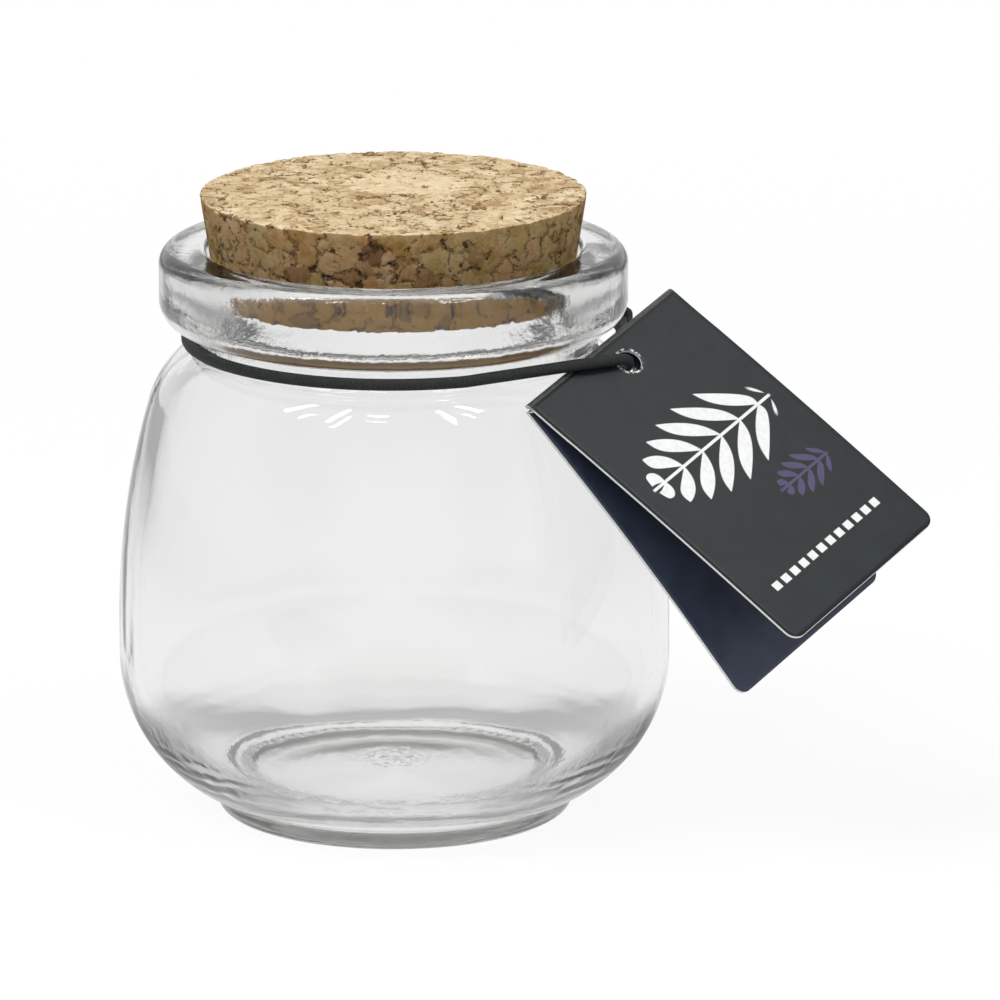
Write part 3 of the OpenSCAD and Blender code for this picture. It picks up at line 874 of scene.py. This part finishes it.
# %% Cord finish
def braid(net):
    uv = net.add("ShaderNodeUVMap", uv_map="along_and_round")
    axes = net.split(uv)
    along, turn = axes * 8.4, axes.other("Y") * (2 * math.pi)
    weave = net.most(net.maths("SINE", along + turn * 3), net.maths("SINE", along - turn * 3))
    fuzz = net.noise(net.object_place(), 2500, 2, 0.6)
    # The weave's grooves are painted darker than its ridges, painted shade on the same relief; the
    # fuzz is the thread's own tone.
    thread_tone_and_groove_shade = net.mix(net.step(weave, -0.6, 1.0) * 0.6 + fuzz * 0.4, (9, 14, 12), (22, 30, 26))
    return {"Base Color": thread_tone_and_groove_shade, "Roughness": 0.7 - fuzz * 0.2,
            "Normal": net.bump(weave + fuzz * 2, 0.03 * MM, 0.8)}


CORD = material("black_elastic", braid)
cord.data.materials.append(CORD)


# %% Knot
def trefoil(centre, size, turn, steps=60):
    """The line of an overhand knot that is pulled shut."""
    line = []
    for i in range(steps + 1):
        t = 2 * math.pi * i / steps
        p = Vector((math.sin(t) + 2 * math.sin(2 * t), math.cos(t) - 2 * math.cos(2 * t),
                    -1.3 * math.sin(3 * t)))
        line.append(centre + turn @ (p * size))
    return line


KNOT_ENDS = ((2.3, 0.5, -4.4), (2.9, 2.4, -3.9))
KNOT_SIZE, KNOT_STRAND_R, TAIL_R, KNOT_SIDES = 0.42, 0.8, 0.84, 10
knot_turn = Euler((math.radians(62), 0, math.radians(15))).to_matrix()
knot_pieces = [swept_tube("cord_knot_tied", trefoil(KNOT_AT, KNOT_SIZE, knot_turn),
                          lambda run: KNOT_STRAND_R, KNOT_SIDES)]
for number, way in enumerate(KNOT_ENDS):
    tip = Vector(way)
    bend = [KNOT_AT, KNOT_AT + tip * 0.35 + Vector((0.4, 0, 0.2)),
            KNOT_AT + tip * 0.7 + Vector((0.3, 0.1, 0)), KNOT_AT + tip]
    knot_pieces.append(swept_tube(f"tail_{number}", smooth_line(bend, 0.4),
                                  lambda run: TAIL_R, KNOT_SIDES))
knot = knot_pieces[0]
with bpy.context.temp_override(active_object=knot, selected_editable_objects=knot_pieces):
    bpy.ops.object.join()
knot.data.materials.append(CORD)
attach(knot, "cord")
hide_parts("cord_knot")

# %% [markdown]
# ## The folded card
#
# The tag is one strip of card, covered with film on both sides, rolled round a fold and punched
# through both leaves. The easiest way to make it is the maker's way: draw it flat with its rounded
# corners and holes, cut it into small triangles, and then bend it. Flat, a point has two numbers:
# x along the fold, and s down the front leaf, or up the back leaf where s is below zero. Bending
# turns s into a place on the front leaf, the roll or the back leaf.

# %% Bending
LEAF_OPEN = math.radians(19)
MID_R = FOLD_R + CARD_T / 2
LEAF_END = TAG_LEN - ROLL_R
CORNER_R = 2.0
FRONT_ARC = MID_R * math.radians(90)
BACK_ARC = MID_R * (math.radians(90) - LEAF_OPEN)
BOW_FRONT, BOW_BACK = 0.35, 0.9


def bent(x, s, out):
    """A point of the flat card, out millimetres above its middle, in the tag's frame."""
    if s >= FRONT_ARC:
        y = s - FRONT_ARC
        bow = BOW_FRONT * math.sin(math.pi * min(1, y / LEAF_END)) * min(1, y / 9) ** 2
        return Vector((x, y, MID_R + out + bow))
    if s >= -BACK_ARC:
        a = math.pi - s / MID_R
        return Vector((x, -(MID_R + out) * math.sin(a), -(MID_R + out) * math.cos(a)))
    d = -s - BACK_ARC
    bow = BOW_BACK * math.sin(math.pi * d / LEAF_END)
    down = Vector((0, math.cos(LEAF_OPEN), -math.sin(LEAF_OPEN)))
    away = Vector((0, -math.sin(LEAF_OPEN), -math.cos(LEAF_OPEN)))
    return Vector((x, 0, 0)) + down * d + away * (MID_R + out - bow)


print("card lies flat on", TAG_W, "x", round(2 * LEAF_END + FRONT_ARC + BACK_ARC, 1), "mm")


# %% Flat card
HOLES = [FRONT_ARC + HOLE_Y, -BACK_ARC - HOLE_Y]


def card_rows():
    """The heights s of the rows of points, close together where the card bends."""
    marks = [(-BACK_ARC - LEAF_END, 0.8), (-8, 0.55), (-0.85, 0.1), (1.05, 0.5), (12, 0.8)]
    ends = [start for start, _ in marks[1:]] + [FRONT_ARC + LEAF_END]
    rows = []
    for (start, step), end in zip(marks, ends):
        n = round((end - start) / step)
        rows += [start + (end - start) * i / n for i in range(n)]
    return rows + [ends[-1]]


def card_outline(rows, cols):
    """The flat card's outer loop, with rounded corners."""
    low, high, half, r = rows[0], rows[-1], TAG_W / 2, CORNER_R

    def corner(cx, cs, start):
        turn = [math.radians(start + 90 * i / 8) for i in range(9)]
        return [(cx + r * math.cos(a), cs + r * math.sin(a)) for a in turn]

    side = [s for s in rows if low + r + 0.2 < s < high - r - 0.2]
    ends = [x for x in cols if abs(x) < half - r - 0.2]
    loop = corner(half - r, low + r, -90) + [(half, s) for s in side]
    loop += corner(half - r, high - r, 0) + [(x, high) for x in reversed(ends)]
    loop += corner(r - half, high - r, 90) + [(-half, s) for s in reversed(side)]
    return loop + corner(r - half, low + r, 180) + [(x, low) for x in ends]


def inside_card(x, s, low, high):
    """Is a grid point on the card, clear of its edge and its holes?"""
    half, r = TAG_W / 2, CORNER_R
    end_gap = min(s - low, high - s)
    if abs(x) > half - 0.3 or end_gap < 0.3:
        return False
    if any(math.hypot(x - HOLE_X, s - h) < HOLE_R + 0.2 for h in HOLES):
        return False
    in_corner = abs(x) > half - r and end_gap < r
    return not in_corner or math.hypot(abs(x) - half + r, r - end_gap) < r - 0.25


def flat_card():
    """Triangles of the flat card: their points and their corners."""
    rows = card_rows()
    cols = [-TAG_W / 2 + TAG_W * i / 44 for i in range(45)]
    loops = [card_outline(rows, cols)]
    for h in HOLES:
        turn = [2 * math.pi * i / 40 for i in range(40)]
        loops.append([(HOLE_X + HOLE_R * math.cos(a), h + HOLE_R * math.sin(a)) for a in turn])
    points, edges = [], []
    for loop in loops:
        first = len(points)
        points += [Vector(p) for p in loop]
        edges += [(first + i, first + (i + 1) % len(loop)) for i in range(len(loop))]
    points += [Vector((x, s)) for s in rows for x in cols if inside_card(x, s, rows[0], rows[-1])]
    flat, _, triangles, *_ = geometry.delaunay_2d_cdt(points, edges, [], 1, 1e-5)

    def in_hole(t):
        mid = (flat[t[0]] + flat[t[1]] + flat[t[2]]) / 3
        return any(math.hypot(mid[0] - HOLE_X, mid[1] - h) < HOLE_R - 0.02 for h in HOLES)

    return flat, [tuple(t) for t in triangles if not in_hole(t)]


# %% Card mesh
PLIES = (1.0, 0.84, -0.84, -1.0)


def make_card():
    """Four layers of the bent card, joined at the rim. Their attribute ply tells film from core."""
    flat, triangles = flat_card()
    n = len(flat)
    points = [tag_matrix @ bent(p[0], p[1], ply * CARD_T / 2) for ply in PLIES for p in flat]
    count = {(t[k], t[k - 2]) for t in triangles for k in range(3)}
    rim = [e for e in count if (e[1], e[0]) not in count]
    last = n * (len(PLIES) - 1)
    faces = triangles + [tuple(last + i for i in reversed(t)) for t in triangles]
    for a, b in sorted(rim):
        for k in range(len(PLIES) - 1):
            faces.append((k * n + b, k * n + a, (k + 1) * n + a, (k + 1) * n + b))
    used = sorted({i for f in faces for i in f})
    place = {v: i for i, v in enumerate(used)}
    mesh = bpy.data.meshes.new("folded_card")
    mesh.from_pydata([points[v] * MM for v in used], [], [[place[i] for i in f] for f in faces])
    ply_of = [PLIES[v // n] for v in used]
    mesh.attributes.new("ply", "FLOAT", "POINT").data.foreach_set("value", ply_of)
    layer = mesh.uv_layers.new(name="flat_mm")
    for polygon in mesh.polygons:
        for loop in polygon.loop_indices:
            layer.data[loop].uv = flat[used[mesh.loops[loop].vertex_index] % n]
        polygon.use_smooth = polygon.index < 2 * len(triangles)
    mesh.validate()
    return outward(linked("folded_card", mesh))


card = make_card()


# %% [markdown]
# ## Film, core and print
#
# The card's UV map is the flat card in millimetres, so a mark is placed on it as on a drawing. The
# outside is charcoal film and the inside navy. Along the fold a paler band is a painted sheen, and
# beside it a dark line is painted shade in the crease. The punch has torn a white rim. The printed
# sprigs are a formula: leaves are slanted stripes either side of a stem, each narrowed to a point
# at both ends by a sine. The numbers of a sprig are how far down the leaf it lies, half its
# length, the reach of its leaves and their spacing.

# %% Print
WHITE_SPRIG, MUTED_SPRIG, MUTED_ASIDE = (23, 14, 8.2, 4.6), (35.5, 5.5, 3.6, 2.4), 7.5
DASHES_DOWN, DASH_PITCH = 46, 2.2


def sprig(net, along, down, middle, half_length, leaf, pitch):
    """1 on a leafy sprig that lies along the card's width. Sizes are in mm."""
    across = net.size(down - middle)
    room = net.most(1 - (along / half_length) * (along / half_length), 0.0)
    reach = net.maths("SQRT", room) * leaf + 0.001
    ripe = net.maths("SINE", net.least(across / reach, 1.0) * math.pi)
    stripe = net.maths("FRACT", (along - across * 0.9) / pitch + 40)
    blade = net.step(ripe * 0.36 - net.size(stripe - 0.5), -0.02, 0.03)
    stem = net.step(across, 0.3, 0.18) * net.step(net.size(along), half_length + 0.5, half_length)
    return net.most(blade * net.step(across, reach, reach - 0.2), stem)


def dashes(net, along, down, middle, pitch):
    row = net.step(net.size(down - middle), 0.75, 0.6) * net.step(net.size(along), 13.6, 13.4)
    return row * net.step(net.size(net.maths("FRACT", along / pitch + 40) - 0.5), 0.34, 0.30)


# %% Card finish
def film(net):
    """Dark film on both sides of a white core."""
    ply = net.add("ShaderNodeAttribute", attribute_name="ply", out="Fac")
    along = net.split(net.add("ShaderNodeUVMap", uv_map="flat_mm"))
    down = along.other("Y")
    place = net.object_place()
    mottle = net.step(net.noise(place, 260, 4, 0.6), 0.3, 0.75)
    grit = net.noise(place, 1400, 3, 0.6)
    outer = net.mix(mottle, (20, 27, 29), (25, 33, 35))
    inner = net.mix(mottle, (42, 49, 64), (50, 57, 74))
    wear_and_sheen_breaks = net.step(grit, 0.42, 0.62)
    # A paler band along the fold is a painted sheen, broken up by noise; the same noise wears the
    # print.
    fold_sheen = net.step(net.size(down), 0.85, 0.45) * (0.5 + wear_and_sheen_breaks * 0.4)
    with_fold_sheen = net.mix(fold_sheen, outer, (74, 72, 68))
    # A dark line beside the fold is painted shade in the crease, where the relief also dips.
    crease_dip_and_shade = net.step(net.size(down - 1.25), 0.35, 0.1) * 0.7
    with_crease_shade = net.mix(crease_dip_and_shade, with_fold_sheen, (12, 13, 13))
    front = net.step(down, 7, 8)
    white = net.most(sprig(net, along, down, *WHITE_SPRIG),
                     dashes(net, along, down, DASHES_DOWN, DASH_PITCH))
    muted = sprig(net, along + MUTED_ASIDE, down, *MUTED_SPRIG)
    printed = net.mix(muted * 0.8, with_crease_shade, (78, 70, 104))
    printed = net.mix(white * front * (0.93 - wear_and_sheen_breaks * 0.08), printed, (226, 227, 226))
    sides = net.mix(net.step(ply, -0.1, 0.1), inner, printed)
    punched = net.length(net.add("ShaderNodeCombineXYZ", {
        0: along - HOLE_X, 1: net.size(down) - HOLES[0]}))
    torn = net.step(punched, HOLE_R + 0.42, HOLE_R + 0.2) * net.step(grit, 0.44, 0.56)
    core = net.step(net.size(ply), 0.86, 0.82)
    bare = net.most(core, torn)
    return {"Base Color": net.mix(bare, sides, (205, 206, 203)),
            "Roughness": 0.36 + mottle * 0.08 + bare * 0.45,
            "Normal": net.bump(mottle * 0.5 + grit * 0.3 - crease_dip_and_shade * 2 + torn, 0.06 * MM, 0.5)}


CARD = material("film_on_card", film, Specular_IOR_Level=0.45)
card.data.materials.append(CARD)
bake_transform(card)
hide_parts("tag_back_leaf", "tag_front_leaf")

# %% [markdown]
# ## The cord's swing
#
# Most of the cord turns with the neck, and the short run through the tag swings with the tag, so
# the cord bends where it leaves the neck. Below, the swing's own axis, which runs to the knot, is
# worked out, with a way square to it and a point 2.5 mm along that way from the start of the
# swing. Then the cord's mesh is fixed where it lies and the CAD cord parts are hidden.

# %% Cord facts
swing_axis = (KNOT_AT - SWING_AT).normalized()
outwards = Vector((1, 0, 0))
blend_way = (outwards - swing_axis * outwards.dot(swing_axis)).normalized()
(SWING_AT + 2.5 * blend_way) * MM
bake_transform(cord)
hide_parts("neck_cord", "tag_cord")
KNOT_AT * MM
[p * MM for p in cord_line]
